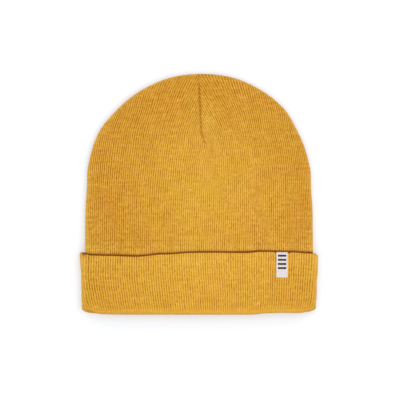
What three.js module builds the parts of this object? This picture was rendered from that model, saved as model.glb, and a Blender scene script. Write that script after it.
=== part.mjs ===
// A cuffed beanie of fine rib knit, lying flat on its back as it is laid out on a table.
// It has three pieces: the crown, a pouch of knit that four darts close at the top, the cuff, which is
// turned up round the crown's lower end, and a woven tab label folded over the cuff's top edge.
//
// Millimetres. +Z is up off the table, +Y runs from the mouth to the top of the crown, and +X is to the
// right as the hat is looked down on. The origin is on the table, under the middle of the hat.
import * as THREE from "three";
import { ParametricGeometry } from "three/addons/geometries/ParametricGeometry.js";
import { mergeVertices } from "three/addons/utils/BufferGeometryUtils.js";

const WALL = 2.6; // thickness of the knit
const HAT_TOP = 108.8; // top of the crown
const MOUTH = -108.8; // lowest line of the cuff's fold
const DOME_START = 12.6; // where the crown's straight sides end and its rounded top begins
const DOME_POWER = 0.48; // 0.5 would make the dome half an ellipse, less makes it fuller at the top

// The hollow for the head, one row for each section across it, from the mouth up. foldHeight is how
// high the two side folds are, rise and drop go from there to the front and the back, and the larger
// frontFlat and backFlat are, the flatter that layer is before it turns down to the folds.
const SECTIONS = [
  { y: -112, halfWidth: 99.8, foldHeight: 10.1, rise: 4.6, drop: 4.4, frontFlat: 8, backFlat: 14 },
  { y: -50, halfWidth: 100.0, foldHeight: 9.8, rise: 4.9, drop: 4.1, frontFlat: 6, backFlat: 14 },
  { y: -24, halfWidth: 99.8, foldHeight: 8.2, rise: 6.4, drop: 5.6, frontFlat: 4.4, backFlat: 10 },
  { y: 12.6, halfWidth: 98.2, foldHeight: 7.8, rise: 6.2, drop: 5.2, frontFlat: 3.4, backFlat: 9 },
  { y: 108.8, halfWidth: 98.2, foldHeight: 6.6, rise: 6.6, drop: 4.0, frontFlat: 2.8, backFlat: 6 },
];

// How far the crown leans to the right of the middle, from the start of the dome up.
const LEANS = [
  { y: 12.6, x: 0 },
  { y: 55, x: -0.5 },
  { y: 78, x: 1.9 },
  { y: 108.8, x: 2.4 },
];

// Soft dents in the front of the crown. halfX and halfY say how far each one reaches.
const DENTS = [
  { x: 80, y: -29, halfX: 30, halfY: 6, depth: 0.8 },
  { x: -84, y: -41, halfX: 16, halfY: 8, depth: 0.7 },
  { x: -4, y: -31, halfX: 24, halfY: 5, depth: 0.4 },
  { x: -70, y: 52, halfX: 22, halfY: 26, depth: 0.6 },
  { x: 46, y: 62, halfX: 20, halfY: 22, depth: 0.5 },
];

// The dart down the front, and the same one down the back: a sewn groove that hooks to the right.
const DART = { top: 101, bend: 64, end: 45, lean: 1.7, hook: 4, depth: 1.3, halfWidth: 2, ease: 12 };

const CUFF = {
  innerLeg: 10, // how far the fold's inner leg reaches up to meet the crown's rim
  butt: 0.3, // gap where the crown's rim meets that leg
  foldGap: 0.5, // space between the cuff and the crown at the fold
  frontGap: 1.5, // the same at the cuff's top edge, in front
  sideGap: 2.1, // the same at the side folds
  cornerLift: 4.2, // how far the fold curves up at its two corners
  cornerSharpness: 22, // the higher, the closer to the side folds that rise stays
  backTop: -53, // height of the cuff's top edge across the back
};

// The cuff's top edge across the front, from the left fold to the right one.
const CUFF_TOP = [
  { x: -107, y: -53.6 },
  { x: -100, y: -53.7 },
  { x: -80, y: -54.5 },
  { x: -56, y: -55.1 },
  { x: -30, y: -53.1 },
  { x: 0, y: -51.7 },
  { x: 42, y: -52.0 },
  { x: 56, y: -50.9 },
  { x: 80, y: -51.1 },
  { x: 101, y: -52.0 },
  { x: 107, y: -55.0 },
];

const LABEL = { x: 75.2, width: 10.8, front: 23.2, back: 5, thickness: 0.6, gap: 0.25 };

const COLUMNS = 60; // even steps round the hat
const DART_STEPS = [0.9, 2.2]; // extra steps on each side of a dart, in degrees
const FOLD_STEPS = [2.5]; // and on each side of a side fold
const PRESSED = 0.15; // what comes this close to the table is pressed flat on it
const CUFF_ROWS = 6; // steps along each leg of the cuff

// A value that eases from row to row of a table.
function eased(table, key, column, at) {
  const next = table.findIndex((row) => row[key] >= at);
  if (next === 0) return table[0][column];
  if (next < 0) return table.at(-1)[column];
  const [low, high] = [table[next - 1], table[next]];
  const share = THREE.MathUtils.smoothstep(at, low[key], high[key]);
  return THREE.MathUtils.lerp(low[column], high[column], share);
}

// The dart's line, and how deep its groove is at a height y.
function dartX(y) {
  const slant = (DART.lean * (DART.top - y)) / (DART.top - DART.bend);
  const below = Math.max(0, DART.bend - y) / (DART.bend - DART.end);
  return slant + DART.hook * below ** 2;
}

function dartDepth(x, y) {
  const across = (x - dartX(y)) / DART.halfWidth;
  const fade = THREE.MathUtils.smoothstep(y, DART.end, DART.end + DART.ease);
  return DART.depth * fade * Math.exp(-(across ** 2));
}

function dentDepth(x, y) {
  return DENTS.reduce((sum, dent) => {
    const squared = ((x - dent.x) / dent.halfX) ** 2 + ((y - dent.y) / dent.halfY) ** 2;
    return sum + dent.depth * Math.exp(-squared);
  }, 0);
}

// A point of the hollow's surface. The angle goes round the hat: 0 at the right fold, 90 degrees down
// the middle of the front, 180 at the left fold and 270 down the middle of the back.
function hollowPoint(angle, y) {
  const of = (column) => eased(SECTIONS, "y", column, y);
  const domeHeight = HAT_TOP - WALL - DOME_START;
  const climb = THREE.MathUtils.clamp((y - DOME_START) / domeHeight, 0, 1);
  const narrowing = (1 - climb ** 2) ** DOME_POWER;
  const outward = Math.hypot(Math.sqrt(1 - climb ** 2) * Math.cos(angle), climb); // 1 on the outline
  const front = Math.sin(angle) >= 0;
  const flatness = of(front ? "frontFlat" : "backFlat");
  const swell = Math.sqrt(Math.max(0, 1 - outward ** flatness));
  const dartShift = climb > 0 ? dartX(Math.max(y, DART.end)) * climb * Math.sin(angle) ** 4 : 0;
  const half = of("halfWidth") * Math.cos(angle) + dartShift;
  const x = half * narrowing + eased(LEANS, "y", "x", y);
  const z = front ? of("rise") * swell - dentDepth(x, y) * swell : -of("drop") * swell;
  return new THREE.Vector3(x, y, of("foldHeight") + z);
}

// The direction square to the hollow's surface, away from the hollow.
function outwardAt(angle, y) {
  const domeTop = HAT_TOP - WALL;
  if (y > domeTop - 0.01) return new THREE.Vector3(0, 1, 0);
  const turn = 0.004;
  const step = Math.min(0.2, (domeTop - y) / 4);
  const round = hollowPoint(angle + turn, y).sub(hollowPoint(angle - turn, y));
  const up = hollowPoint(angle, y + step).sub(hollowPoint(angle, y - step));
  return up.cross(round).normalize();
}

// A point at a depth of the knit: 0 on the hollow's surface, WALL on the crown's outside. What would
// touch the table, or sink into it, lies flat on it.
function knitPoint(angle, y, depth) {
  const point = hollowPoint(angle, y).addScaledVector(outwardAt(angle, y), depth);
  if (point.z < PRESSED) point.z = 0;
  return point;
}

// The steps round the hat, with finer ones beside the two darts and the two side folds.
function anglesRound() {
  const angles = Array.from({ length: COLUMNS }, (_, i) => (i * 360) / COLUMNS);
  for (const dart of [90, 270]) {
    for (const step of DART_STEPS) angles.push(dart - step, dart + step);
  }
  for (const fold of [0, 180]) {
    for (const step of FOLD_STEPS) angles.push((fold - step + 360) % 360, fold + step);
  }
  return angles.sort((a, b) => a - b).map(THREE.MathUtils.degToRad);
}

// A closed solid from a grid of points: columns go round the hat, rows go along the section.
function solidFromGrid(columns, rows, pointAt) {
  const wrapped = (i, count) => Math.round(i * count) % count;
  const place = (u, v, target) => {
    target.copy(pointAt(wrapped(u, columns), Math.round(v * rows)));
  };
  const surface = new ParametricGeometry(place, columns, rows);
  surface.deleteAttribute("normal");
  surface.deleteAttribute("uv");
  const solid = mergeVertices(surface, 1e-3);
  const corners = [];
  for (let i = 0; i < solid.index.count; i += 3) {
    const [a, b, c] = [0, 1, 2].map((k) => solid.index.getX(i + k));
    if (a !== b && b !== c && c !== a) corners.push(a, b, c);
  }
  solid.setIndex(corners);
  solid.computeVertexNormals();
  return solid;
}

// The crown's rows: even steps up to the cuff's edge, closer ones over it, then even turns of the dome.
function crownHeights() {
  const rim = MOUTH + CUFF.innerLeg + CUFF.butt;
  const dome = HAT_TOP - WALL - DOME_START;
  const straight = [rim, -76, -60, -51, -44, -37, -30, -20, -5];
  const turns = [0, 10, 19, 28, 37, 46, 55, 63, 71, 78, 84, 90];
  return [...straight, ...turns.map((t) => DOME_START + dome * Math.sin(THREE.MathUtils.degToRad(t)))];
}

function crownGeometry() {
  const angles = anglesRound();
  const heights = crownHeights();
  const outside = heights.map((y) => ({ y, depth: WALL })).reverse();
  const inside = heights.map((y) => ({ y, depth: 0 }));
  const rows = [...outside, ...inside];
  return solidFromGrid(angles.length, rows.length - 1, (column, row) => {
    const { y, depth } = rows[row];
    const point = knitPoint(angles[column], y, depth);
    const groove = depth > 0 ? dartDepth(point.x, y) : 0;
    if (Math.sin(angles[column]) >= 0) point.z -= groove;
    else point.z += groove;
    return point;
  });
}

// The cuff's top edge at an angle round the hat.
function cuffTop(angle) {
  const x = knitPoint(angle, CUFF.backTop, 2 * WALL + CUFF.foldGap).x;
  if (Math.sin(angle) >= 0) return eased(CUFF_TOP, "x", "y", x);
  const fold = Math.abs(Math.cos(angle)) ** CUFF.cornerSharpness;
  const foldTop = x > 0 ? CUFF_TOP.at(-1).y : CUFF_TOP[0].y;
  return THREE.MathUtils.lerp(CUFF.backTop, foldTop, fold);
}

// The cuff's section at an angle: a J that starts at the crown's rim, turns through the fold and runs
// up outside the crown. Each point is a height y and a depth measured as knitPoint does.
function cuffSection(angle) {
  const side = Math.abs(Math.cos(angle)) ** 8;
  const fold = Math.abs(Math.cos(angle)) ** CUFF.cornerSharpness;
  const openGap = Math.sin(angle) >= 0 ? CUFF.frontGap : CUFF.foldGap;
  const topGap = THREE.MathUtils.lerp(openGap, CUFF.sideGap, side);
  const bottom = MOUTH + CUFF.cornerLift * fold;
  const centre = { y: bottom + WALL + CUFF.foldGap / 2, depth: WALL + CUFF.foldGap / 2 };
  const rim = MOUTH + CUFF.innerLeg;
  const edge = { y: cuffTop(angle) - WALL / 2, depth: topGap + 1.5 * WALL };
  const gapAt = (share) => THREE.MathUtils.lerp(CUFF.foldGap, topGap, share ** 1.5);
  const leg = (depth) => Array.from({ length: CUFF_ROWS + 1 }, (_, i) => {
    const share = i / CUFF_ROWS;
    return { y: THREE.MathUtils.lerp(centre.y, edge.y, share), depth: depth + gapAt(share) };
  });
  const arc = (middle, radius, from, to, steps) => Array.from({ length: steps - 1 }, (_, i) => {
    const turn = THREE.MathUtils.degToRad(from + ((to - from) * (i + 1)) / steps);
    return { y: middle.y + radius * Math.sin(turn), depth: middle.depth + radius * Math.cos(turn) };
  });
  return [
    { y: rim, depth: 0 },
    { y: rim, depth: WALL },
    { y: centre.y, depth: WALL },
    ...arc(centre, CUFF.foldGap / 2, 180, 360, 2),
    ...leg(WALL),
    ...arc(edge, WALL / 2, 180, 0, 4),
    ...leg(2 * WALL).reverse(),
    ...arc(centre, WALL + CUFF.foldGap / 2, 0, -180, 6),
    { y: centre.y, depth: 0 },
    { y: rim, depth: 0 },
  ];
}

function cuffGeometry() {
  const angles = anglesRound();
  const sections = angles.map(cuffSection);
  return solidFromGrid(angles.length, sections[0].length - 1, (column, row) => {
    const { y, depth } = sections[column][row];
    return knitPoint(angles[column], y, depth);
  });
}

// The angle at which the cuff's outside lies at x, found by halving, on the front of the hat.
function angleAtX(x, y, depth) {
  let [low, high] = [0, Math.PI];
  for (let i = 0; i < 40; i += 1) {
    const middle = (low + high) / 2;
    if (knitPoint(middle, y, depth).x > x) low = middle;
    else high = middle;
  }
  return (low + high) / 2;
}

// The label is a flat strip bent over the cuff's top edge: down the front, and a short way down behind.
function labelGeometry() {
  const middleAngle = angleAtX(LABEL.x, CUFF.backTop, 2 * WALL);
  const edge = cuffTop(middleAngle) - WALL / 2;
  const bend = WALL / 2 + LABEL.gap + LABEL.thickness / 2;
  const over = Math.PI * bend;
  const length = LABEL.front + over + LABEL.back;
  const strip = new THREE.BoxGeometry(LABEL.width, length, LABEL.thickness, 4, 24, 1);
  const at = strip.attributes.position;
  for (let i = 0; i < at.count; i += 1) {
    const along = at.getY(i) + length / 2 - LABEL.front; // 0 where the strip starts to turn over the edge
    const lift = at.getZ(i);
    const turn = THREE.MathUtils.clamp(along / bend, 0, Math.PI);
    const radius = bend + lift;
    const past = Math.max(0, along - over);
    const y = edge + radius * Math.sin(turn) + Math.min(0, along) - past;
    const share = THREE.MathUtils.clamp((y - MOUTH) / (edge - MOUTH), 0, 1);
    const gap = THREE.MathUtils.lerp(CUFF.foldGap, CUFF.frontGap, share ** 1.5);
    const depth = gap + 1.5 * WALL + radius * Math.cos(turn);
    const point = knitPoint(angleAtX(LABEL.x + at.getX(i), y, depth), y, depth);
    at.setXYZ(i, point.x, point.y, point.z);
  }
  strip.computeVertexNormals();
  return strip;
}

function piece(name, geometry, colour, roughness) {
  const material = new THREE.MeshStandardMaterial({ color: colour, roughness, metalness: 0 });
  const mesh = new THREE.Mesh(geometry, material);
  mesh.name = name;
  return mesh;
}

const beanie = new THREE.Group();
beanie.add(piece("crown", crownGeometry(), 0xd99f38, 0.95));
beanie.add(piece("cuff", cuffGeometry(), 0xdca43c, 0.95));
beanie.add(piece("label", labelGeometry(), 0xf0e6dd, 0.8));

export default beanie;
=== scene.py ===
# %% [markdown]
# # A cuffed beanie of fine rib knit, laid flat
#
# The hat is a tube of rib knit that four darts close at the top, with its lower end turned up as a
# cuff and a small woven tab folded over the cuff's edge. The CAD frame gives the plain solids. Here
# each of them gets its knit: ribs that run up the hat one by one and end on the darts, stitches, yarn
# and the tab's weave.

import bmesh
import bpy
import numpy as np
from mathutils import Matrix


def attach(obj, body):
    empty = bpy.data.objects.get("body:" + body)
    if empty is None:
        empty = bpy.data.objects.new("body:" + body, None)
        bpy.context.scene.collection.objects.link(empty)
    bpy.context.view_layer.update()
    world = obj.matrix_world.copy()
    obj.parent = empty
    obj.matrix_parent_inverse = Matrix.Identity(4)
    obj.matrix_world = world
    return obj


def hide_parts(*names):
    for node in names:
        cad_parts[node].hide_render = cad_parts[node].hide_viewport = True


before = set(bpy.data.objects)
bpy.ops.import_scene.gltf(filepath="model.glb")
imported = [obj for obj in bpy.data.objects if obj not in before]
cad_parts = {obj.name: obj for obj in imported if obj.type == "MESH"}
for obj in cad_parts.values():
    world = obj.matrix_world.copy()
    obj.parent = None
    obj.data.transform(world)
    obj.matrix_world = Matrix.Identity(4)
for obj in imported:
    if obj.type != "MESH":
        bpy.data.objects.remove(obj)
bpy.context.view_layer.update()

MM = 0.001  # the shapes below are worked out in millimetres, and Blender's unit is the metre

# %% [markdown]
# ## Camera, floor and light
#
# The photograph looks straight down on the hat, so the camera stands over it with a long lens, which
# keeps the perspective as weak as it is there. One pixel of the 400 pixel picture is 0.9 mm.
#
# The light is that of a white studio tent: nearly the same from everywhere. A single lamp would give
# the hat a hard shadow and a dark side, which the photograph hasn't. So a white world gives most of the
# light, a soft box overhead and a weaker one beyond the top of the hat shape the knit, and the table
# glows a little, so that the shadow is a thin, soft, neutral line.

# %% Camera
PIXEL = 0.9  # millimetres of the hat for one pixel of the picture
PICTURE_MIDDLE = (0.9, -4.95)  # the point of the hat in the middle of the picture
PICTURE_PIXELS = 400
SENSOR = 36  # millimetres
CAMERA_HEIGHT = 1.6  # metres
SIDE_FOLD_HEIGHT = 0.010  # the outline is at the side folds, so the scale is right at their height

camera_data = bpy.data.cameras.new("camera")
camera_data.sensor_width = SENSOR
camera_data.lens = SENSOR * (CAMERA_HEIGHT - SIDE_FOLD_HEIGHT) / (PICTURE_PIXELS * PIXEL * MM)
camera = bpy.data.objects.new("camera", camera_data)
camera.location = (PICTURE_MIDDLE[0] * MM, PICTURE_MIDDLE[1] * MM, CAMERA_HEIGHT)
bpy.context.collection.objects.link(camera)
bpy.context.scene.camera = camera
print("lens", round(camera_data.lens, 1), "mm")


# %% Floor and light
FLOOR_COLOUR = (0.635, 0.66, 0.70, 1)  # bluish, because the hat throws yellow light on it
FLOOR_GLOW = 0.26
FLOOR_HALF = 3.0
FLOOR_HEIGHT = -0.0002  # metres, just under the hat
TENT = 0.60  # strength of the white world
WHITE = (1, 1, 1, 1)


def shader(name):
    """A new material with its node tree, and its Principled shader."""
    material = bpy.data.materials.new(name)
    material.use_nodes = True
    return material, material.node_tree, material.node_tree.nodes["Principled BSDF"]


floor_material, _, floor_shader = shader("white_paper")
floor_shader.inputs["Base Color"].default_value = FLOOR_COLOUR
floor_shader.inputs["Emission Color"].default_value = WHITE
floor_shader.inputs["Emission Strength"].default_value = FLOOR_GLOW
floor_shader.inputs["Roughness"].default_value = 0.9
floor_shader.inputs["Specular IOR Level"].default_value = 0.2

floor_mesh = bpy.data.meshes.new("floor")
corners = [(-1, -1), (1, -1), (1, 1), (-1, 1)]
corners = [(x * FLOOR_HALF, y * FLOOR_HALF, FLOOR_HEIGHT) for x, y in corners]
floor_mesh.from_pydata(corners, [], [(0, 1, 2, 3)])
floor_mesh.materials.append(floor_material)
floor = bpy.data.objects.new("floor", floor_mesh)
bpy.context.collection.objects.link(floor)


def softbox(name, place, size, watts):
    """A square lamp of that size at a place, both in metres, facing the middle of the hat."""
    data = bpy.data.lights.new(name, "AREA")
    data.size = size
    data.energy = watts
    lamp = bpy.data.objects.new(name, data)
    lamp.location = place
    lamp.rotation_euler = lamp.location.to_track_quat("Z", "Y").to_euler()
    lamp.visible_camera = False
    bpy.context.collection.objects.link(lamp)


softbox("overhead", (0.06, -0.08, 1.2), 1.0, 8.8)
softbox("fill", (0.2, 0.5, 1.3), 1.2, 3)

world = bpy.data.worlds.new("tent")
bpy.context.scene.world = world
world.use_nodes = True
world.node_tree.nodes["Background"].inputs["Color"].default_value = WHITE
world.node_tree.nodes["Background"].inputs["Strength"].default_value = TENT
bpy.context.scene.view_settings.view_transform = "Standard"
print("floor, two soft boxes and a white tent")

# %% [markdown]
# ## The hollow for the head
#
# A hat that lies flat is two layers of knit with a loose hollow between them. A cloth simulation could
# lay it down, but it would end a little different from the CAD solids. So the whole hat is worked out
# from one surface, the hollow, as in the CAD source. An angle goes round the hat: 0 at the right fold,
# 90 degrees down the middle of the front, 180 at the left fold and 270 down the middle of the back.
# The knit is laid on that surface at a depth: 0 is the crown's inner face and 2.6 mm its outer one.
# Each row of the table of sections is a cut across the hat.

# %% Sizes shared with the CAD source
WALL = 2.6  # thickness of the knit
HAT_TOP = 108.8
MOUTH = -108.8
DOME_START = 12.6  # the sides are straight up to here
DOME_POWER = 0.48  # 0.5 would be an ellipse
DOME_TOP = HAT_TOP - WALL

COLUMNS = ("y", "half_width", "fold_height", "rise", "drop", "front_flat", "back_flat")
SECTIONS = np.array([
    (-112, 99.8, 10.1, 4.6, 4.4, 8.0, 14.0),
    (-50, 100.0, 9.8, 4.9, 4.1, 6.0, 14.0),
    (-24, 99.8, 8.2, 6.4, 5.6, 4.4, 10.0),
    (12.6, 98.2, 7.8, 6.2, 5.2, 3.4, 9.0),
    (108.8, 98.2, 6.6, 6.6, 4.0, 2.8, 6.0),
])
LEANS = np.array([(12.6, 0), (55, -0.5), (78, 1.9), (108.8, 2.4)])  # height, dome's way to the right
CUFF_TOP = np.array([  # x, height of the cuff's top edge
    (-107, -52.0), (-103, -53.0), (-96, -54.1), (-80, -54.5), (-56, -55.1), (-30, -53.1), (0, -51.7),
    (42, -51.7), (56, -50.7), (80, -51.2), (101, -52.4), (107, -55.0),
])
DENTS = [  # x, y, half width, half height, depth
    (80, -29, 30, 6, 0.8),
    (-84, -41, 16, 8, 0.7),
    (-4, -31, 24, 5, 0.4),
    (-70, 52, 22, 26, 0.6),
    (46, 62, 20, 22, 0.5),
]
print(len(SECTIONS), "sections and", len(DENTS), "dents on", HAT_TOP - MOUTH, "mm from mouth to top")


# %% The hollow's surface
def eased(table, column, at):
    """A table's column at a height: neighbouring rows are joined by the S-curve 3t^2 - 2t^3."""
    row = np.clip(np.searchsorted(table[:, 0], at), 1, len(table) - 1)
    low, high = table[row - 1], table[row]
    t = np.clip((at - low[..., 0]) / (high[..., 0] - low[..., 0]), 0, 1)
    return low[..., column] + (high[..., column] - low[..., column]) * t * t * (3 - 2 * t)


def smooth(low, high, at):
    """0 below low and 1 above high, with the S-curve 3t^2 - 2t^3 between them."""
    t = np.clip((at - low) / (high - low), 0, 1)
    return t * t * (3 - 2 * t)


def hollow(angle, y):
    """Point of the hollow. Across, it is the half width times the cosine of the angle, narrowed in the
    dome nearly as an ellipse narrows, by (1 - climb^2)^0.48. Its height leaves the fold by rise or drop
    times a swell, the square root of 1 - outward^n, where outward runs from 0 in the middle to 1 on the
    outline. The dents, a bell curve each, lower the rise."""
    section = {name: eased(SECTIONS, i, y) for i, name in enumerate(COLUMNS)}
    climb = np.clip((y - DOME_START) / (DOME_TOP - DOME_START), 0, 1)
    narrowing = (1 - climb**2) ** DOME_POWER
    outward = np.hypot(np.sqrt(1 - climb**2) * np.cos(angle), climb)
    front = np.sin(angle) >= 0
    flatness = np.where(front, section["front_flat"], section["back_flat"])
    swell = np.sqrt(np.clip(1 - outward**flatness, 0, None))
    x = section["half_width"] * np.cos(angle) * narrowing + eased(LEANS, 1, y)
    dent = sum(d * np.exp(-((x - dx) / hx) ** 2 - ((y - dy) / hy) ** 2) for dx, dy, hx, hy, d in DENTS)
    z = np.where(front, section["rise"] - dent, -section["drop"]) * swell
    return np.stack([x, y + 0 * x, section["fold_height"] + z], axis=-1)


def knit(angle, y, depth):
    """Point at a depth of the knit: the hollow's point moved out along the surface's normal, which is
    the cross product of its slopes along the hat and round it. At the very top it is straight up the
    hat. The slopes are differences over a small turn and a small step."""
    turn = 0.004
    step = np.clip((DOME_TOP - y) / 4, 1e-4, 0.2)
    around = hollow(angle + turn, y) - hollow(angle - turn, y)
    along = hollow(angle, y + step) - hollow(angle, y - step)
    normal = np.cross(along, around)
    length = np.linalg.norm(normal, axis=-1, keepdims=True)
    top = (y > DOME_TOP - 0.01)[..., None] | (length < 1e-12)
    normal = np.where(top, [0.0, 1.0, 0.0], normal / np.maximum(length, 1e-12))
    return hollow(angle, y) + normal * np.asarray(depth)[..., None]


print("middle of the crown:", knit(np.array([np.pi / 2]), np.array([0.0]), np.array([WALL])).round(2))

# %% [markdown]
# ## Ribs at equal steps round the hat
#
# A rib is as wide on a flat layer as where it turns over a side fold. A stripe texture laid on from
# above would squeeze the ribs there. So equal steps of rib are equal steps of length over the surface,
# not of angle. A table gives the angle for a share of the way from the middle of a layer (0) to the
# side fold (1), at each height. Both layers have one.

# %% From a share of the way round to an angle
TOP_HEIGHTS = DOME_TOP - 8.2 * np.linspace(1, 0, 60) ** 2.2  # closer and closer, as the dome closes
HEIGHTS = np.concatenate([np.arange(-112, 98, 0.5), TOP_HEIGHTS])
SHARES = np.linspace(0, 1, 201)


def share_table(front):
    """(angle for each height and share, length from the middle to the fold for each height). Lengths
    are summed chords of the knit's outer face, and their inverse is read off with interp."""
    quarter = np.radians(np.linspace(90, 0, 361))
    angles = quarter if front else -quarter
    grid = knit(angles[None, :], HEIGHTS[:, None] + 0 * angles[None, :], WALL + 0 * angles[None, :])
    chords = np.linalg.norm(np.diff(grid, axis=1), axis=2)
    lengths = np.concatenate([np.zeros((len(HEIGHTS), 1)), np.cumsum(chords, axis=1)], axis=1)
    total = np.maximum(lengths[:, -1], 1e-6)
    table = np.array([np.interp(SHARES, row / full, angles) for row, full in zip(lengths, total)])
    return table, lengths[:, -1]


FRONT_ANGLES, FRONT_LENGTH = share_table(True)
BACK_ANGLES, BACK_LENGTH = share_table(False)


def look_up(table, share, y):
    """Reads a table of heights by shares at any height and share, along straight lines."""
    i = np.clip(np.searchsorted(HEIGHTS, y, side="right") - 1, 0, len(HEIGHTS) - 2)
    a = np.clip((y - HEIGHTS[i]) / (HEIGHTS[i + 1] - HEIGHTS[i]), 0, 1)
    column = np.clip(share * (len(SHARES) - 1), 0, len(SHARES) - 1.0001)
    j = column.astype(int)
    b = column - j
    low = table[i, j] * (1 - b) + table[i, j + 1] * b
    high = table[i + 1, j] * (1 - b) + table[i + 1, j + 1] * b
    return low * (1 - a) + high * a


def angle_of(share, front, right, y):
    """The angle round the hat for a share, on the front or back layer, right or left of the middle."""
    angle = np.where(front, look_up(FRONT_ANGLES, share, y), look_up(BACK_ANGLES, share, y))
    angle = np.where(share >= 1, 0.0, angle)
    return np.where(right, angle, np.pi - angle)


print("middle to fold at the mouth:", FRONT_LENGTH[0].round(1), "and", BACK_LENGTH[0].round(1), "mm")

# %% [markdown]
# ## The paths of the ribs
#
# Low on the crown the ribs run straight up. Then they lean towards the middle, more and more, until
# each one ends on a dart: those near the middle on the front or back dart, the others on the side
# darts at the outline, which begin lower. So the dome is drawn in as the real one is, and the ribs make
# an arrow pattern beside the dart. Ribs that only grew narrower towards the top would be simpler, but
# real ribs keep their width. A table gives the lean beside the dart and far from it, as the sideways
# step for each step of the way up. The paths are followed upwards, all of them at once, in steps of
# half a millimetre along the middle of the dome.

# %% Follow the ribs
COLUMNS_IN_QUARTER = 220  # mesh columns in a quarter of the crown
CROWN_RIBS = (56, 55)  # ribs in a quarter of the crown, right and left of the dart
DART_END = 45.0  # where the front and back darts begin, going up
SIDE_END = 24.0  # where the side darts begin
STRAIGHT_END = -20.0  # the ribs run straight up to here
PATH_STEP = 0.5
LEAN = np.array([  # height, lean beside the dart, lean far from it
    (-20, 0, 0),
    (0, 0.01, 0.02),
    (17, 0.045, 0.08),
    (35, 0.08, 0.12),
    (42, 0.13, 0.16),
    (48, 0.30, 0.19),
    (57.6, 0.40, 0.21),
    (66.6, 0.42, 0.235),
    (75.6, 0.49, 0.24),
    (84.6, 0.53, 0.23),
    (93.6, 0.56, 0.23),
    (103, 0.60, 0.28),
])
NEAR_DART = (-15, 60)  # the distances from the dart between which the lean eases


def bell(distance, width):
    """exp(-(distance / width)^2): 1 at no distance and 0.37 at one width."""
    return np.exp(-((distance / width) ** 2))


def path_heights():
    """Heights from STRAIGHT_END up at every PATH_STEP of the way over the dome's middle."""
    tall = np.linspace(STRAIGHT_END, DOME_TOP, 4001)
    middle = knit(np.full(len(tall), np.pi / 2), tall, np.full(len(tall), WALL))
    climbed = np.concatenate([[0], np.cumsum(np.linalg.norm(np.diff(middle, axis=0), axis=1))])
    return np.interp(np.arange(0, climbed[-1], PATH_STEP), climbed, tall)


def rib_paths():
    """For each column of a quarter: its share of the way to the fold at each of those heights, and the
    height where it ends. A step sideways is the lean times the step up. Below the darts' ends the lean
    is 0 in the middle and follows the outline at the fold."""
    heights = path_heights()
    reach = np.interp(heights, HEIGHTS, FRONT_LENGTH)
    inward = -np.gradient(reach, heights)
    start = np.linspace(0, 1, COLUMNS_IN_QUARTER + 1)
    place = start * reach[0]
    shares = [start]
    ends = np.full(len(start), np.nan)
    for k in range(1, len(heights)):
        y = heights[k - 1]
        near, far = eased(LEAN, 1, y), eased(LEAN, 2, y)
        lean = near + (far - near) * smooth(*NEAR_DART, place)
        below = smooth(DART_END + 1, DART_END - 2, y)
        lean = lean * (1 - below * bell(place, 9))
        at_fold = smooth(SIDE_END + 5, SIDE_END - 5, y) * smooth(0.8, 1, place / reach[k - 1])
        lean = lean + (inward[k - 1] - lean) * at_fold
        climb = heights[k] - y
        step = climb * at_fold + PATH_STEP * (1 - at_fold)
        moved = place - lean * step
        if y >= DART_END:
            met_dart = np.isnan(ends) & (moved <= 0)
            ends[met_dart] = y + climb * (place / np.maximum(place - moved, 1e-9))[met_dart]
        if y >= SIDE_END:
            out = moved - reach[k]
            was_out = place - reach[k - 1]
            met_fold = np.isnan(ends) & (out >= 0)
            part = np.clip(-was_out / np.maximum(out - was_out, 1e-9), 0, 1)
            ends[met_fold] = y + climb * part[met_fold]
        place = np.clip(moved, 0, reach[k])
        shares.append(place / max(reach[k], 1e-6))
    ends[0], ends[-1] = DART_END, SIDE_END
    ends[np.isnan(ends)] = DOME_TOP
    return heights, np.array(shares).T, ends


PATH_HEIGHTS, PATH_SHARES, PATH_ENDS = rib_paths()
met_dart = np.array([np.interp(e, PATH_HEIGHTS, s) < 0.5 for e, s in zip(PATH_ENDS, PATH_SHARES)])
LAST_ON_DART = int(np.flatnonzero(met_dart)[-1])
PATH_ENDS[[LAST_ON_DART, LAST_ON_DART + 1]] = DOME_TOP
print("columns that end on the front dart:", LAST_ON_DART, "a side, of", COLUMNS_IN_QUARTER)


def path_share(column, y):
    """A column's share of the way to the fold at a height, read off its path."""
    k = np.clip(np.searchsorted(PATH_HEIGHTS, y, side="right") - 1, 0, len(PATH_HEIGHTS) - 2)
    t = np.clip((y - PATH_HEIGHTS[k]) / (PATH_HEIGHTS[k + 1] - PATH_HEIGHTS[k]), 0, 1)
    return PATH_SHARES[column, k] * (1 - t) + PATH_SHARES[column, k + 1] * t


# %% [markdown]
# ## From a grid to a mesh
#
# Each knitted piece is a grid that closes round the hat. Its UV map counts ribs and courses, so that
# the knit in the material follows every rib. A UV map from an unwrap would cut and turn the ribs. Where
# two edges meet in a dart, their points fall on the same places and are merged, which sews the piece
# shut.

# %% Grid helpers
MERGE = 2e-6  # metres: points closer than this are one


def grid_quads(rows, columns, apart=()):
    """Quads between neighbours of a grid that closes in its second direction, with each one's row,
    column and next column. The rows named in apart get no quads to the next row."""
    i, j = np.meshgrid(np.setdiff1d(np.arange(rows - 1), apart), np.arange(columns), indexing="ij")
    after = (j + 1) % columns
    low, high = i * columns, (i + 1) * columns
    quads = np.stack([low + j, low + after, high + after, high + j], -1)
    return quads.reshape(-1, 4).tolist(), i, j, after


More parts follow.
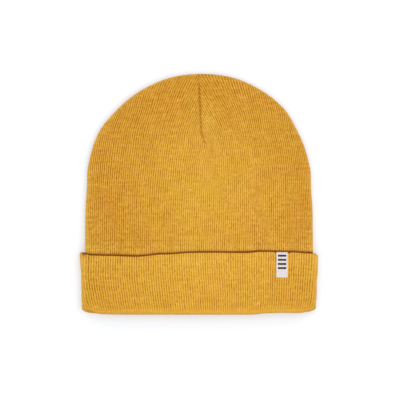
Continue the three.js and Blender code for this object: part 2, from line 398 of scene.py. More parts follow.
def object_from_grid(name, points, u, v, material, apart=(), **tones):
    """An object from a grid of points in millimetres that closes in its second direction. u and v go to
    the UV map, tones to point attributes. Merged points sew the darts and the poles. The rows named in
    apart get no quads to the next row."""
    quads, i, j, after = grid_quads(*points.shape[:2], apart)
    mesh = bpy.data.meshes.new(name)
    mesh.from_pydata((points.reshape(-1, 3) * MM).tolist(), [], quads)
    step = (u[:, after[0]] - u)[i, j] % 1
    right = np.stack([u[i, j], u[i, j] + step, u[i + 1, j] + step, u[i + 1, j]], -1)
    up = np.stack([v[i, j], v[i, after], v[i + 1, after], v[i + 1, j]], -1)
    layer = mesh.uv_layers.new(name="ribs_and_courses")
    layer.uv.foreach_set("vector", np.stack([right, up], -1).ravel())
    for tone, values in tones.items():
        mesh.attributes.new(tone, "FLOAT", "POINT").data.foreach_set("value", values.ravel())
    return sewn(mesh, name, material)


def sewn(mesh, name, material):
    """Merges points that fall on one place, turns the faces outwards and links the object."""
    work = bmesh.new()
    work.from_mesh(mesh)
    bmesh.ops.remove_doubles(work, verts=work.verts, dist=MERGE)
    if work.calc_volume(signed=True) < 0:
        bmesh.ops.reverse_faces(work, faces=work.faces)
    open_edges = sum(edge.is_boundary for edge in work.edges)
    work.to_mesh(mesh)
    work.free()
    mesh.polygons.foreach_set("use_smooth", np.ones(len(mesh.polygons), bool))
    mesh.materials.append(material)
    piece = bpy.data.objects.new(name, mesh)
    bpy.context.collection.objects.link(piece)
    print(name, len(mesh.polygons), "faces,", open_edges, "open edges")
    return piece


def ripple(x, y, wave_x, wave_y, seed, waves=14):
    """Smooth noise of about -1 to 1: the sum of sin(2 pi (fx x / wave_x + fy y / wave_y) + phase) over
    some waves with seeded random fx, fy and phases, divided by the root of their number."""
    rng = np.random.default_rng(seed)
    across, along = rng.normal(0, 1, waves), rng.normal(0, 1, waves)
    phases = rng.uniform(0, 2 * np.pi, waves)
    total = 0
    for fx, fy, phase in zip(across, along, phases):
        total = total + np.sin(2 * np.pi * (fx * x / wave_x + fy * y / wave_y) + phase)
    return total / np.sqrt(waves)


# %% Columns round the hat
def columns_round(in_quarter, ribs_right, ribs_left):
    """For each column of a grid: its count from the middle of its layer, whether it is on the front and
    on the right, and its rib number. Columns go from the front's middle over the right fold."""
    column = np.arange(4 * in_quarter)
    quarter, step_in = column // in_quarter, column % in_quarter
    from_middle = np.where(quarter % 2 == 0, step_in, in_quarter - step_in)
    right = quarter <= 1
    rib = np.where(right, column * ribs_right, (column - 2 * in_quarter) * ribs_left) / in_quarter
    return from_middle, (quarter == 0) | (quarter == 3), right, rib + np.where(right, 0, 2 * ribs_right)


FROM_MIDDLE, ON_FRONT, ON_RIGHT, RIB_NUMBER = columns_round(COLUMNS_IN_QUARTER, *CROWN_RIBS)
print(len(RIB_NUMBER), "columns for", 2 * sum(CROWN_RIBS), "ribs")

# %% [markdown]
# ## Knit material
#
# Rib knit is rows of V-shaped stitches. Ribs are round ridges with narrow valleys between them, which
# lie in shade, and the yarn is slightly fuzzy and uneven. Every loop of yarn could be modelled, but the
# hat has tens of thousands of them, each hardly two pixels of the picture. So the stitches are a
# material. It reads the UV map: a cosine of the rib count gives ridge and valley, and a sine of the
# course count, shifted along the rib, gives the stitches. Both make the bump, and both paint shade into
# the valleys and between the stitches. Soft noise makes some stitches lighter than others at random,
# and a painted pool of light makes the knit lighter near the middle of the hat. Three attributes of the
# mesh say where light is painted on the knit, where the valleys' painted shade is taken away, and where
# shade is painted into creases and seams.

# %% Node helpers
def node(tree, kind, **settings):
    """A new node of that kind, with its settings and, for inputs given by number or name, values."""
    made = tree.nodes.new(kind)
    for key, value in settings.items():
        if key.startswith("in_"):
            slot = key[3:]
            made.inputs[int(slot) if slot.isdigit() else slot.replace("_", " ")].default_value = value
        else:
            setattr(made, key, value)
    return made


def calc(tree, operation, first, second=None, third=None):
    """A Math node on links or numbers. Returns its result."""
    made = tree.nodes.new("ShaderNodeMath")
    made.operation = operation
    for socket, value in zip(made.inputs, (first, second, third)):
        if isinstance(value, (int, float)):
            socket.default_value = value
        elif value is not None:
            tree.links.new(value, socket)
    return made.outputs[0]


def half_wave(tree, operation, phase):
    """Half of 1 + the sine or cosine of 2 pi times the phase."""
    turned = calc(tree, operation, calc(tree, "MULTIPLY", phase, 2 * np.pi))
    return calc(tree, "MULTIPLY_ADD", turned, 0.5, 0.5)


def tone_of(tree, name):
    """The value of one of the mesh's attributes."""
    return node(tree, "ShaderNodeAttribute", attribute_name=name).outputs["Fac"]


def noise(tree, vector, scale, detail=2.0):
    """A Noise texture on a vector. Returns its grey value."""
    made = node(tree, "ShaderNodeTexNoise", in_Scale=scale, in_Detail=detail)
    tree.links.new(vector, made.inputs["Vector"])
    return made.outputs["Fac"]


def mixed(tree, share, first, second):
    """Two colours, or a link and a colour, mixed by a share."""
    made = tree.nodes.new("ShaderNodeMix")
    made.data_type = "RGBA"
    tree.links.new(share, made.inputs["Factor"])
    for socket, value in zip((made.inputs[6], made.inputs[7]), (first, second)):
        if isinstance(value, tuple):
            socket.default_value = (*value, 1)
        else:
            tree.links.new(value, socket)
    return made.outputs[2]


# %% Knit
YARN = (0.644, 0.302, 0.028)  # on the crown's ridges
YARN_CUFF = (0.657, 0.321, 0.032)
# Painted light: the ridges' colour in the painted pool of light round a spot on the crown and on the
# cuff.
YARN_PAINTED_LIGHT = (0.752, 0.427, 0.044)  # on the ridges near the sunny spot
# Lighter yarn, for stitches lighter at random and where light is painted.
YARN_LIGHT = (0.89, 0.53, 0.088)
# Painted shade: the yarn's colour deep in the rib valleys.
YARN_VALLEY_SHADE = (0.34, 0.120, 0.003)  # in the valleys
# The colour of the shade painted into creases, seams, the notch and the cuff's fold.
CREASE_SHADE_COLOUR = (0.25, 0.048, 0.0)
HUES = ((0.98, 1.07, 0.99), (1.02, 0.93, 1.01))  # a little greener, a little redder


def knit_material(name, own, painted_light_spot, valley_shade=0.68, height=0.0003):
    """Ridge = half of 1 + cos(2 pi rib). Stitch = half of 1 + sin(2 pi (course + 0.9 |rib step|)).
    The colour runs from the painted shade deep in the valleys to the yarn on the ridges, and the
    stitches paint a little shade between them. The yarn is its own colour, or a lighter one in the
    painted pool of light round the spot given, made lighter by noise drawn out along the rib and by the
    attribute of painted light, and its hue shifts with soft noise. The valleys' painted shade is
    (1 - ridge^0.75) times a depth, which noise varies, which is less in the painted pool of light, and
    which the attribute calm takes away. The attribute shade mixes in the colour of the shade painted
    into creases. The bump is ridge^0.7 plus the stitches plus fine fibre noise."""
    material, tree, surface = shader(name)
    uv = node(tree, "ShaderNodeUVMap", uv_map="ribs_and_courses").outputs[0]
    split = node(tree, "ShaderNodeSeparateXYZ")
    tree.links.new(uv, split.inputs[0])
    rib, course = split.outputs[0], split.outputs[1]
    spot = node(tree, "ShaderNodeTexCoord").outputs["Object"]

    def uneven(across, along, detail=1.0):
        drawn = node(tree, "ShaderNodeMapping", in_Scale=(across, along, 1))
        tree.links.new(uv, drawn.inputs["Vector"])
        return noise(tree, drawn.outputs[0], 1.0, detail)

    # Ridges that sway a little, and stitches.
    sway = calc(tree, "MULTIPLY_ADD", uneven(0.45, 0.32), 0.3, -0.15)
    ridge = half_wave(tree, "COSINE", calc(tree, "ADD", rib, sway))
    slanted = calc(tree, "MULTIPLY_ADD", calc(tree, "PINGPONG", rib, 0.5), 0.9, course)
    stitch = half_wave(tree, "SINE", slanted)
    fibres = noise(tree, spot, 2600, 3.0)

    # 0 in the middle of the painted pool of light, and 1 well away from it.
    middle = node(tree, "ShaderNodeMapping", in_Location=painted_light_spot[0], in_Scale=painted_light_spot[1])
    tree.links.new(spot, middle.inputs["Vector"])
    away = node(tree, "ShaderNodeVectorMath", operation="LENGTH")
    tree.links.new(middle.outputs[0], away.inputs[0])
    faded = node(tree, "ShaderNodeMapRange", interpolation_type="SMOOTHSTEP")
    tree.links.new(away.outputs["Value"], faded.inputs["Value"])

    # How deep the painted shade in the valleys is, and how much light is left in them.
    deep = calc(tree, "MULTIPLY_ADD", uneven(0.30, 0.12), 0.7, valley_shade - 0.35)
    deep = calc(tree, "ADD", deep, calc(tree, "MULTIPLY_ADD", uneven(0.85, 0.54, 2.0), 1.7, -0.85))
    deep = calc(tree, "MULTIPLY", deep, calc(tree, "SUBTRACT", 1.0, tone_of(tree, "calm")))
    deep = calc(tree, "MULTIPLY", deep, calc(tree, "MULTIPLY_ADD", faded.outputs[0], 0.34, 0.91))
    lit = calc(tree, "SUBTRACT", 1.0, calc(tree, "POWER", ridge, 0.75))
    lit = calc(tree, "SUBTRACT", 1.0, calc(tree, "MULTIPLY", lit, deep))
    # Painted shade between the stitches.
    lit = calc(tree, "MULTIPLY", lit, calc(tree, "MULTIPLY_ADD", stitch, 0.16, 0.84))
    lit.node.use_clamp = True

    # How light the yarn is, lighter at random and where light is painted by the attribute, and its
    # colour, a lighter one in the painted pool of light.
    lighter = calc(tree, "MULTIPLY", uneven(0.95, 0.54, 2.0), 0.6)
    lighter = calc(tree, "MULTIPLY_ADD", uneven(0.09, 0.72, 2.0), 0.9, lighter)
    lighter = calc(tree, "MULTIPLY_ADD", noise(tree, spot, 22, 2.0), 0.2, lighter)
    lighter = calc(tree, "MULTIPLY_ADD", fibres, 0.35, lighter)
    lighter = calc(tree, "MULTIPLY_ADD", lighter, 1.5, -1.21)
    lighter.node.use_clamp = True
    lighter = calc(tree, "ADD", lighter, tone_of(tree, "painted_light"))
    lighter.node.use_clamp = True
    yarn = mixed(tree, faded.outputs[0], YARN_PAINTED_LIGHT, own)
    yarn = mixed(tree, lighter, yarn, YARN_LIGHT)
    dyed = node(tree, "ShaderNodeVectorMath", operation="MULTIPLY")
    tree.links.new(yarn, dyed.inputs[0])
    tree.links.new(mixed(tree, noise(tree, spot, 34, 2.0), *HUES), dyed.inputs[1])
    knitted = mixed(tree, lit, YARN_VALLEY_SHADE, dyed.outputs[0])
    colour = mixed(tree, tone_of(tree, "shade"), knitted, CREASE_SHADE_COLOUR)
    tree.links.new(colour, surface.inputs["Base Color"])

    # The bump, and a soft, fuzzy surface.
    relief = calc(tree, "ADD", calc(tree, "POWER", ridge, 0.7), calc(tree, "MULTIPLY", stitch, 0.35))
    relief = calc(tree, "ADD", relief, calc(tree, "MULTIPLY", fibres, 0.5))
    bump = node(tree, "ShaderNodeBump", in_Strength=0.7, in_Distance=height)
    tree.links.new(relief, bump.inputs["Height"])
    tree.links.new(bump.outputs[0], surface.inputs["Normal"])
    surface.inputs["Roughness"].default_value = 0.92
    surface.inputs["Specular IOR Level"].default_value = 0.06
    surface.inputs["Sheen Weight"].default_value = 0.32
    surface.inputs["Sheen Roughness"].default_value = 0.45
    surface.inputs["Sheen Tint"].default_value = (1.0, 0.72, 0.25, 1)
    return material


# A painted pool of light is given as the mapping's shift and scale: spot = scale x place + shift.
CROWN_PAINTED_LIGHT = ((-0.084, -0.05, 0.0), (8.8, 8.4, 0.0))
CUFF_PAINTED_LIGHT = ((-0.05, 0.69, 0.0), (6.2, 11.0, 0.0))
crown_knit = knit_material("mustard_rib_knit", YARN, CROWN_PAINTED_LIGHT)
cuff_knit = knit_material("mustard_rib_knit_cuff", YARN_CUFF, CUFF_PAINTED_LIGHT)
print("knit materials:", crown_knit.name, cuff_knit.name)

# %% [markdown]
# ## The crown
#
# The crown is a pouch of one layer of knit, 2.6 mm thick. A Solidify modifier could thicken it, but
# here the wall follows from the depth. The grid's rows go up the outer face to where each rib ends on a
# dart, and come back down the inner face. Each face is sewn shut along the darts, and no faces lie
# between the two. The ribs are raised in the mesh itself, 0.25 mm either way, so that the outline and
# the side views show them. The knit sinks into the dart's seam, and swells a little beside it.

# %% The dart's line
DART_TOP = 96.5
DART_BEND = 64  # the lower end bends off from here down
DART_LEAN = 1.75  # how far right of the top the dart is at the bend
DART_HOOK = 3.2  # how far right its lower end bends off
HOOK_REACH_RIGHT = 9  # how far from the dart the ribs bend with it
HOOK_REACH_LEFT = 14
LOW_TURN = 3.6  # how far the knit below the dart turns back to the left
SPREAD_RIGHT = 1.4  # how far the ribs beside the dart are spread
SPREAD_LEFT = 0.4
SPREAD_START, SPREAD_END = (46, 57), (86, 64)  # heights over which the spread sets in and fades
SPREAD_NEAR, SPREAD_FAR = (0, 12), (60, 14)  # distances from the dart over which it does
BACK_SHARE = 0.6  # the back's dart slants and bends this much of the front's
SEAM_HALF = 0.85  # half the width of the dart's groove


def dart_slant(y):
    """How far right of the middle the knit beside the dart is: a slant, which eases into a small turn
    of the whole knit below the dart."""
    slant = DART_LEAN * (DART_TOP - np.maximum(y, DART_END)) / (DART_TOP - DART_BEND)
    return slant - LOW_TURN * smooth(48, -62, y)


def dart_hook(y):
    """How far the dart's lower end bends off to the right: it grows with the cube of the way down from
    the bend, and the ribs below it ease back."""
    down = np.maximum(0, DART_BEND - np.maximum(y, DART_END)) / (DART_BEND - DART_END)
    return DART_HOOK * down**3 * smooth(DART_END - 22, DART_END, y)


def dart_shift(share, front, right, y):
    """Sideways shift that lays the columns on the dart's line, less the dome's own lean. The slant
    fades evenly to the side folds, and the hook beside the dart as a bell curve, sooner on the right.
    Beside the dart the ribs are spread, and further away pushed together as much."""
    from_dart = share * np.interp(y, HEIGHTS, FRONT_LENGTH)
    side = np.where(front, 1.0, BACK_SHARE)
    slant = side * dart_slant(y) - eased(LEANS, 1, y)
    spread = np.where(right, SPREAD_RIGHT, -SPREAD_LEFT)
    spread = spread * smooth(*SPREAD_START, y) * smooth(*SPREAD_END, y)
    spread = spread * smooth(*SPREAD_NEAR, from_dart) * smooth(*SPREAD_FAR, from_dart)
    hook_reach = np.where(right, HOOK_REACH_RIGHT, HOOK_REACH_LEFT)
    return slant * (1 - share) + side * dart_hook(y) * bell(from_dart, hook_reach) + spread


print("dart's lower end:", np.round(dart_slant(DART_END) + dart_hook(DART_END), 2), "mm to the right")


# %% The crown's grid
RIM = -98.5  # the crown's lower end, inside the cuff
FLAT_UNDER = 0.02  # whatever is lower than this lies on the table
RIB_HEIGHT = 0.25
INNER_RIB_HEIGHT = 0.12
SEAM_SINK = 1.5  # how deep the knit goes into the front and back darts
SIDE_SEAM = 0.4  # the side darts' depth as a share of that
SWELLING = 0.35  # beside a dart
CUFF_PRESS = 0.9  # how deep the cuff's edge presses the crown
SLOW_WAVES = 0.16  # of the outer face
WANDER = 0.13  # how far a rib strays sideways
LOW_ROWS = np.concatenate([[RIM, -88, -72, -60], np.arange(-57, -47.5, 0.8), [-44, -38, -32, -26]])
CLIMB_ROWS = 1 - (1 - np.linspace(0, 1, 56)) ** 1.6
INNER_LOW = np.array([RIM, -70, -45])
INNER_CLIMB = 1 - (1 - np.linspace(0, 1, 16)) ** 1.5
COURSE = 1.45  # millimetres up the rib for one course of stitches


def crown_heights(low_rows, climb_rows):
    """Heights of the rows in each column: the same ones where the ribs are straight, then the same
    shares of the way up to where that column ends."""
    ends = PATH_ENDS[FROM_MIDDLE]
    low = np.repeat(low_rows[:, None], len(RIB_NUMBER), axis=1)
    return np.concatenate([low, STRAIGHT_END + (ends - STRAIGHT_END) * climb_rows[:, None]])


def crown_points(y, outside):
    """The crown's outer or inner face, and the tones of its points: painted shade, painted light and
    calm. Depth is the wall, plus the ribs, which are a cosine of the rib number, minus the groove of
    the darts and that under the cuff's edge, both bell curves of the distance. Slow noise lifts the
    outer face and moves the ribs sideways."""
    column = np.broadcast_to(FROM_MIDDLE, y.shape)
    front = np.broadcast_to(ON_FRONT, y.shape)
    right = np.broadcast_to(ON_RIGHT, y.shape)
    rib = np.broadcast_to(RIB_NUMBER, y.shape)
    share = np.where(y <= STRAIGHT_END, column / COLUMNS_IN_QUARTER, path_share(column, y))
    on_seam = y >= PATH_ENDS[column] - 1e-9
    share = np.where(on_seam, np.where(column <= LAST_ON_DART, 0.0, 1.0), share)
    share = np.where(column == 0, 0.0, np.where(column == COLUMNS_IN_QUARTER, 1.0, share))
    reach = np.interp(y, HEIGHTS, FRONT_LENGTH)
    from_dart = share * reach
    from_fold = (1 - share) * reach
    above = smooth(DART_END - 3, DART_END + 6, y)
    seam_half = SEAM_HALF * np.where(right, 0.75, 1.1)
    seam = above * bell(from_dart, seam_half)
    seam = seam + SIDE_SEAM * smooth(SIDE_END - 3, SIDE_END + 12, y) * bell(from_fold, 1.6)
    seam = np.clip(seam, 0, 1)
    relief = 1 - np.where(on_seam, 1.0, seam)
    sunk = SEAM_SINK * seam * smooth(104, 92, y)
    uneven = 1 + 0.3 * ripple(rib, y, 5, 30, seed=3)
    wave = np.cos(2 * np.pi * rib) * uneven * relief * smooth(106, 103, y)
    depth = -INNER_RIB_HEIGHT * wave
    if outside:
        depth = WALL - 0.2 * smooth(104, 98, y) + RIB_HEIGHT * wave
        swelling = above * relief * SWELLING * bell(from_dart - 3.4, 2.0)
        depth = depth - sunk + swelling * np.where(right, 1.0, 0.35)
        slow = SLOW_WAVES * ripple(rib * 1.9, y, 46, 34, seed=5)
        depth = depth + slow * relief * smooth(0, 0.12, 1 - share)
    wander = WANDER * ripple(rib, y, 8, 18, seed=8)
    wander = wander * smooth(0, 0.06, share) * smooth(0, 0.06, 1 - share)
    angle = angle_of(share, front, right, y)
    if outside:
        above_cuff = y - eased(CUFF_TOP, 1, hollow(angle, y)[..., 0])
        depth = depth - CUFF_PRESS * front * bell(above_cuff + 0.2, 1.5)
    points = knit(angle, y, depth)
    points[..., 0] += dart_shift(share, front, right, y) + np.where(on_seam, 0, wander)
    points[..., 2] = np.where(points[..., 2] < FLAT_UNDER, 0.0, points[..., 2])
    if not outside:
        return points, 0 * seam, 0 * seam, 0 * seam
    # Painted shade in the crease above the cuff and in the dart seams. Painted light at the dart's
    # lower end, beside the dart, where the knit bulges over the cuff, in a wide band above it and at
    # the side folds, where the valleys' painted shade is also calmed.
    x = points[..., 0]
    crease_shade = 0.93 * bell(np.maximum(above_cuff - 0.15, 0), 0.75)
    shade = np.clip(0.29 * seam + front * crease_shade, 0, 0.99)
    painted_light = 0.20 * bell(np.hypot(x - 5, (y - 47) * 0.8), 15) + 0.36 * bell(above_cuff - 3.4, 2.6)
    painted_light = painted_light + 0.3 * np.exp(-(((x - 5.5) / 4.2) ** 2) - ((y - 66) / 14) ** 2)
    at_fold = np.where(right, 0.08, 0.2) * smooth(15, 1.5, from_fold)
    painted_light = front * (painted_light + 0.10 * bell(above_cuff, 14)) + at_fold
    return points, shade, painted_light, 0.6 * smooth(6.5, 1, from_fold)


outer_y = crown_heights(LOW_ROWS, CLIMB_ROWS)
inner_y = crown_heights(INNER_LOW, INNER_CLIMB)[::-1]
outer = crown_points(outer_y, True)
inner = crown_points(inner_y, False)
heights = np.concatenate([outer_y, inner_y, outer_y[:1]])
crown_grid, *crown_tones = [np.concatenate([out, into, out[:1]]) for out, into in zip(outer, inner)]
crown_u = np.broadcast_to(RIB_NUMBER, heights.shape).copy()
tones = dict(zip(("shade", "painted_light", "calm"), crown_tones))
crown_v = heights / COURSE
seam_row = [len(outer_y) - 1]
crown = object_from_grid("crown_knit", crown_grid, crown_u, crown_v, crown_knit, seam_row, **tones)
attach(crown, "root")
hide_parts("crown")

# %% [markdown]
# ## The cuff
#
# The cuff is the end of the tube, turned up. It could be bent out of the crown's mesh, but the CAD has
# a solid of its own for it. Its section is a J: a short leg inside, the fold at the mouth, and the long
# leg outside that ends in the cuff's round edge. The edge wanders as the real one does, and a table
# lets the ribs drift sideways towards the fold.

# %% The cuff's section
INNER_LEG = 10
FOLD_GAP = 0.5  # between crown and cuff at the fold, and all over the back
FRONT_GAP = 1.5  # at the front's edge
SIDE_GAP = 2.1  # at the edge beside the side folds
PINCH_X = 74.3  # the tab's stitches draw the edge down here
PINCH = 0.9
CORNER_LIFT = 4.8  # how much higher the fold is at its two corners
BACK_TOP = -53.0
BEVEL = 0.4  # of the inner leg's rim
SLANT = 0.7  # a bevel's direction, up and outwards alike
# Painted shade: a dark patch painted into the deep gap at this x.
NOTCH_SHADE_X = -103.3  # the dark notch between the crown and the cuff at the left fold
CUFF_BOTTOM = np.array([  # x, height of the fold above the mouth
    (-104, 1.3), (-94, 1.2), (-78, 1.0), (-60, 0.9), (46, 0.9), (64, 2.2), (76, 2.5), (104, 1.9),
])


def cuff_section(angle):
    """For each column: rows of height, depth, and the section's outward direction as (height, depth).
    On the legs the gap grows from the fold's to the edge's with the power 1.5 of the way up. Arcs are
    circles round their middles. High powers of the cosine of the angle single out the side folds."""
    front = np.sin(angle) >= 0
    side = np.abs(np.cos(angle)) ** 8
    corner = np.abs(np.cos(angle)) ** 30
    open_gap = np.where(front, FRONT_GAP, FOLD_GAP)
    top_gap = open_gap + (SIDE_GAP - open_gap) * side
    x = knit(angle, BACK_TOP + 0 * angle, 2 * WALL + FOLD_GAP + 0 * angle)[:, 0]
    fold_top = np.where(x > 0, CUFF_TOP[-1, 1], CUFF_TOP[0, 1])
    pinch = PINCH * smooth(8.2, 5.2, np.abs(x - PINCH_X))
    top = np.where(front, eased(CUFF_TOP, 1, x) - pinch, BACK_TOP + (fold_top - BACK_TOP) * corner)
    bottom = MOUTH + CORNER_LIFT * corner + eased(CUFF_BOTTOM, 1, x) * (1 - corner)
    middle_y, middle_depth = bottom + WALL + FOLD_GAP / 2, WALL + FOLD_GAP / 2 + 0 * x
    edge_y, edge_depth = top - WALL / 2, top_gap + 1.5 * WALL
    rim = MOUTH + INNER_LEG + 0 * x
    none, one = 0 * x, 1 + 0 * x

    def arc(y, depth, radius, first, last, steps, outwards=1):
        turns = np.radians(np.linspace(first, last, steps + 1))[:, None]
        sine, cosine = np.sin(turns) + none, np.cos(turns) + none
        return list(zip(y + radius * sine, depth + radius * cosine, outwards * sine, outwards * cosine))

    def leg(base, outwards, steps):
        shares = np.linspace(0, 1, steps + 1)[:, None] + none
        gap = FOLD_GAP + (top_gap - FOLD_GAP) * shares**1.5
        up = middle_y + (edge_y - middle_y) * shares
        return list(zip(up, base + gap, 0 * shares, outwards + 0 * shares))

    rows = [(rim, BEVEL + none, SLANT * one, -SLANT * one)]
    rows += [(rim, WALL - BEVEL + none, SLANT * one, SLANT * one)]
    rows += [(rim - BEVEL, WALL + none, none, one), (middle_y, WALL + none, none, one)]
    rows += arc(middle_y, middle_depth, FOLD_GAP / 2, 180, 360, 2, -1)
    rows += leg(WALL, -1, 8)
    rows += arc(edge_y, edge_depth, WALL / 2, 180, 0, 8)
    rows += leg(2 * WALL, 1, 22)[::-1]
    rows += arc(middle_y, middle_depth, WALL + FOLD_GAP / 2, 0, -180, 14)
    rows += [(middle_y + (rim - middle_y) * t, none, none, -one) for t in (0.3, 0.6, 0.9)]
    rows += [rows[0]]
    return [np.array([row[k] + none for row in rows]) for k in range(4)]


print("the cuff is", round(BACK_TOP - MOUTH, 1), "mm deep at the back, and", INNER_LEG, "mm inside")


# %% The cuff's grid
CUFF_RIBS = 50  # ribs in a quarter of the cuff
CUFF_QUARTER = 4 * CUFF_RIBS  # mesh columns in a quarter, four for a rib
CUFF_LENGTH = 105  # from the middle to a side fold
CUFF_SINK = 0.2  # the knit lies this much under the CAD's face, so that ridges don't stand proud
CUFF_SLOW_WAVES = 0.14
CUFF_WANDER = 0.15
CUFF_COLUMNS = columns_round(CUFF_QUARTER, CUFF_RIBS, CUFF_RIBS)
CUFF_FROM_MIDDLE, CUFF_FRONT, CUFF_RIGHT, CUFF_RIB = CUFF_COLUMNS
CUFF_DRIFT = np.array([  # height, how far right the ribs are at the left fold, middle and right fold
    (-110, 4.9, 3.1, -4.4),
    (-104, 4.6, 3.0, -4.0),
    (-92, 1.9, 2.4, -2.2),
    (-83, 0.2, 1.8, -1.6),
    (-72, -0.8, 0.8, -0.8),
    (-56, 0, 0, 0),
])


def cuff_angles(y):
    """Angle of each column at a height. On the front the ribs drift by the table, which runs straight
    from fold to middle to fold. On the back the drift fades to none in the middle."""
    way = CUFF_FROM_MIDDLE / CUFF_QUARTER
    way = np.where(CUFF_FRONT, way, 2 - way)
    fold = np.where(CUFF_RIGHT, eased(CUFF_DRIFT, 3, y), eased(CUFF_DRIFT, 1, y))
    drift = np.where(way <= 1, eased(CUFF_DRIFT, 2, y) * (1 - way) + fold * way, fold * (2 - way))
    signed = np.where(CUFF_RIGHT, way, -way) + drift / CUFF_LENGTH
    way = np.abs(signed)
    share = np.where(way <= 1, way, 2 - way)
    return angle_of(np.clip(share, 0, 1), way <= 1, signed >= 0, y)


way_round = cuff_angles(np.full(len(CUFF_RIB), -80.0))
cuff_y, cuff_depth, out_y, out_depth = cuff_section(way_round)
cuff_rib = np.broadcast_to(CUFF_RIB, cuff_y.shape).copy()
calm = smooth(8, 1, cuff_y - cuff_y.min(axis=0)) * 0.8
uneven = 1 + 0.3 * ripple(cuff_rib, cuff_y, 5, 24, seed=13)
wave = np.cos(2 * np.pi * cuff_rib) * uneven * (1 - calm)
slow = CUFF_SLOW_WAVES * ripple(cuff_rib * 2, cuff_y, 50, 26, seed=17)
raised = RIB_HEIGHT * wave - CUFF_SINK + slow * (cuff_depth > 4)
cuff_angle = np.array([cuff_angles(row) for row in cuff_y])
cuff_grid = knit(cuff_angle, cuff_y + out_y * raised, cuff_depth + out_depth * raised)
wander = CUFF_WANDER * ripple(cuff_rib, cuff_y, 8, 16, seed=21)
cuff_grid[..., 0] += wander * np.abs(np.sin(cuff_angle)) ** 0.5
cuff_grid[..., 2] = np.where(cuff_grid[..., 2] < FLAT_UNDER, 0.0, cuff_grid[..., 2])
steps = np.linalg.norm(np.diff(cuff_grid, axis=0), axis=2).mean(axis=1)
cuff_v = np.repeat(np.concatenate([[0], np.cumsum(steps)])[:, None], len(CUFF_RIB), axis=1) / COURSE
# Painted shade along the edge, in the notch and at the fold. Painted light below the edge and at the
# left side fold. At both side folds the valleys' painted shade is calmed.
cuff_x = cuff_grid[..., 0]
outer_leg = cuff_depth > WALL
below_edge = cuff_y.max(axis=0) - cuff_y
near_fold = smooth(4.2, 1.0, cuff_y - cuff_y.min(axis=0))
at_side = smooth(100, 105, np.abs(cuff_x))
cuff_painted_light = 0.16 * smooth(0.5, 1.6, below_edge) * smooth(15, 7, below_edge)
cuff_painted_light = (cuff_painted_light + np.where(CUFF_RIGHT, 0.0, 0.2) * at_side) * outer_leg
edge_shade = smooth(0.7, 0.1, below_edge) * outer_leg * smooth(-107, -104.5, cuff_x)
notch_shade = smooth(2.1, 0.9, below_edge) * bell(cuff_x - NOTCH_SHADE_X, 1.5) * outer_leg
cuff_shade = np.maximum(np.maximum(0.92 * edge_shade, 0.98 * notch_shade), 0.13 * near_fold)
tones = {"shade": cuff_shade, "calm": np.maximum(calm, 0.65 * at_side), "painted_light": cuff_painted_light}
cuff = object_from_grid("cuff_knit", cuff_grid, cuff_rib, cuff_v, cuff_knit, **tones)
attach(cuff, "root")
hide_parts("cuff")

# %% [markdown]
# ## The tab label
#
# A strip of woven tape is folded over the cuff's edge. A cloth simulation could fold it, but a strip
# this stiff takes a simple bend. So its section, a thin rounded rectangle, is carried along a path: up
# the outside of the cuff, over the edge and a little way down inside. The weave is in the material,
# with plain dark bars woven across its upper part.

# %% Label shape
LABEL_X = PINCH_X
LABEL_WIDTH = 10.2
LABEL_FRONT = 21.0
LABEL_BACK = 5.0
LABEL_THICK = 0.45
LABEL_GAP = 0.1
LABEL_CURL = 0.35  # how far its two lower corners stand off
HALF_WIDTH = 100  # about the hat's, for finding an angle


def angle_at(x, y, depth):
    """The angle on the front where the knit is at x: four steps that each turn by the miss divided by
    the half width times the sine."""
    angle = np.arccos(np.clip(x / HALF_WIDTH, -1, 1)) + 0 * y
    for _ in range(4):
        angle = angle + (knit(angle, y, depth)[..., 0] - x) / (HALF_WIDTH * np.sin(angle))
    return angle


def label_grid(along=90, corner=3, across=16):
    """Rows follow the strip's length, columns its rounded section. Height and depth follow a straight
    line, a half circle over the cuff's edge and a straight line again."""
    bend = WALL / 2 + LABEL_GAP + LABEL_THICK / 2
    over = np.pi * bend
    length = LABEL_FRONT + over + LABEL_BACK
    top = eased(CUFF_TOP, 1, np.array([LABEL_X]))[0] - PINCH - WALL / 2
    turns = np.radians(np.linspace(0, 90, corner + 1))
    round_x, round_z = np.cos(turns), np.sin(turns)
    half, thin = LABEL_WIDTH / 2, LABEL_THICK / 2
    edge_x = half - thin + thin * round_x
    flat = np.linspace(half - thin, -(half - thin), across + 1)[1:-1]
    section_x = np.concatenate([edge_x, flat, -edge_x[::-1], -edge_x, flat[::-1], edge_x[::-1]])
    face = np.ones(len(flat))
    section_z = thin * np.concatenate([round_z, face, round_z[::-1], -round_z, -face, -round_z[::-1]])
    way = np.linspace(0, length, along + 1)
    way = np.concatenate([[0], way, [length]])[:, None] + 0 * section_x
    shrink = np.ones(way.shape)
    shrink[[0, -1]] = 0.35
    height = section_z * shrink
    turn = np.clip((way - LABEL_FRONT) / over, 0, 1) * np.pi
    radius = bend + height
    behind = np.where(turn >= np.pi, LABEL_FRONT + over - way, 0)
    straight = np.where(way < LABEL_FRONT, way - LABEL_FRONT, behind)
    y = top + radius * np.sin(turn) + straight
    low = MOUTH + WALL + FOLD_GAP / 2
    gap = FOLD_GAP + (FRONT_GAP - FOLD_GAP) * np.clip((y - low) / (top - low), 0, 1) ** 1.5
    depth = gap + 1.5 * WALL + radius * np.cos(turn)
    curl = LABEL_CURL * np.exp(-way / 2.5) * (section_x / half) ** 2
    x = LABEL_X + section_x
    return knit(angle_at(x, y, depth), y, depth + curl), section_x / LABEL_WIDTH + 0 * way, way


weave_points, weave_u, weave_v = label_grid()


# %% Woven tape
THREADS_ACROSS = 34
THREADS_PER_MM = 2.6  # along the tape
BARS_FROM, BARS_TO = 7.6, 20.7  # where they lie, in millimetres from the tape's lower end
BAR_STEP = 3.7
BAR_SHARE = 0.48  # of a step
BAR_HALF = 0.37  # of the tape's width


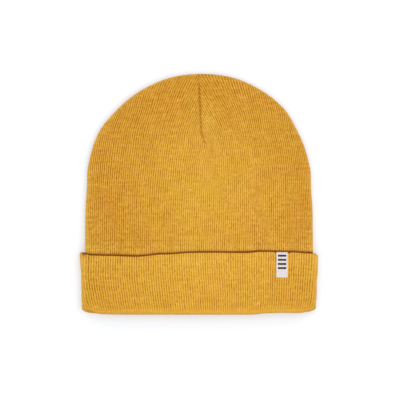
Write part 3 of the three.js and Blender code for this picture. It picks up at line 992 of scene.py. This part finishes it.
def woven_tape():
    """Off-white plain weave: the bump is the product of sines along and across, one for each thread.
    The dark bars are where a count along the tape falls in their share of each step."""
    material, tree, surface = shader("woven_tape")
    uv = node(tree, "ShaderNodeUVMap", uv_map="ribs_and_courses")
    split = node(tree, "ShaderNodeSeparateXYZ")
    tree.links.new(uv.outputs[0], split.inputs[0])
    across, along = split.outputs[0], split.outputs[1]
    warp = calc(tree, "SINE", calc(tree, "MULTIPLY", across, 2 * np.pi * THREADS_ACROSS))
    weft = calc(tree, "SINE", calc(tree, "MULTIPLY", along, 2 * np.pi * THREADS_PER_MM))
    weave = calc(tree, "MULTIPLY", warp, weft)
    bar = calc(tree, "MULTIPLY", calc(tree, "SUBTRACT", along, BARS_FROM), 1 / BAR_STEP)
    bar = calc(tree, "LESS_THAN", calc(tree, "FRACT", bar), BAR_SHARE)
    inside = calc(tree, "LESS_THAN", calc(tree, "ABSOLUTE", across), BAR_HALF)
    above = calc(tree, "GREATER_THAN", along, BARS_FROM)
    upper = calc(tree, "MULTIPLY", above, calc(tree, "LESS_THAN", along, BARS_TO))
    dark = calc(tree, "MULTIPLY", calc(tree, "MULTIPLY", bar, inside), upper)
    spot = node(tree, "ShaderNodeTexCoord").outputs["Object"]
    speck = noise(tree, spot, 800, 3.0)
    tape = mixed(tree, speck, (0.40, 0.345, 0.36), (0.99, 0.92, 0.91))
    thread = mixed(tree, speck, (0.012, 0.008, 0.012), (0.035, 0.024, 0.034))
    tree.links.new(mixed(tree, dark, tape, thread), surface.inputs["Base Color"])
    bump = node(tree, "ShaderNodeBump", in_Strength=0.5, in_Distance=0.00008)
    tree.links.new(calc(tree, "ADD", weave, speck), bump.inputs["Height"])
    tree.links.new(bump.outputs[0], surface.inputs["Normal"])
    surface.inputs["Roughness"].default_value = 0.75
    surface.inputs["Specular IOR Level"].default_value = 0.3
    surface.inputs["Sheen Weight"].default_value = 0.1
    return material


def object_from_sheet(name, points, u, v, material):
    """As object_from_grid, but u turns round a closed section, so it is read point by point, and the
    two end rows are closed with a face each."""
    rows, columns = points.shape[:2]
    faces = grid_quads(rows, columns)[0]
    faces += [list(range(columns))[::-1], list(range((rows - 1) * columns, rows * columns))]
    mesh = bpy.data.meshes.new(name)
    mesh.from_pydata((points.reshape(-1, 3) * MM).tolist(), [], faces)
    corner = np.zeros(len(mesh.loops), np.int32)
    mesh.loops.foreach_get("vertex_index", corner)
    layer = mesh.uv_layers.new(name="ribs_and_courses")
    layer.uv.foreach_set("vector", np.stack([u.ravel()[corner], v.ravel()[corner]], -1).ravel())
    return sewn(mesh, name, material)


label = object_from_sheet("label_tape", weave_points, weave_u, weave_v, woven_tape())
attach(label, "root")
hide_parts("label")
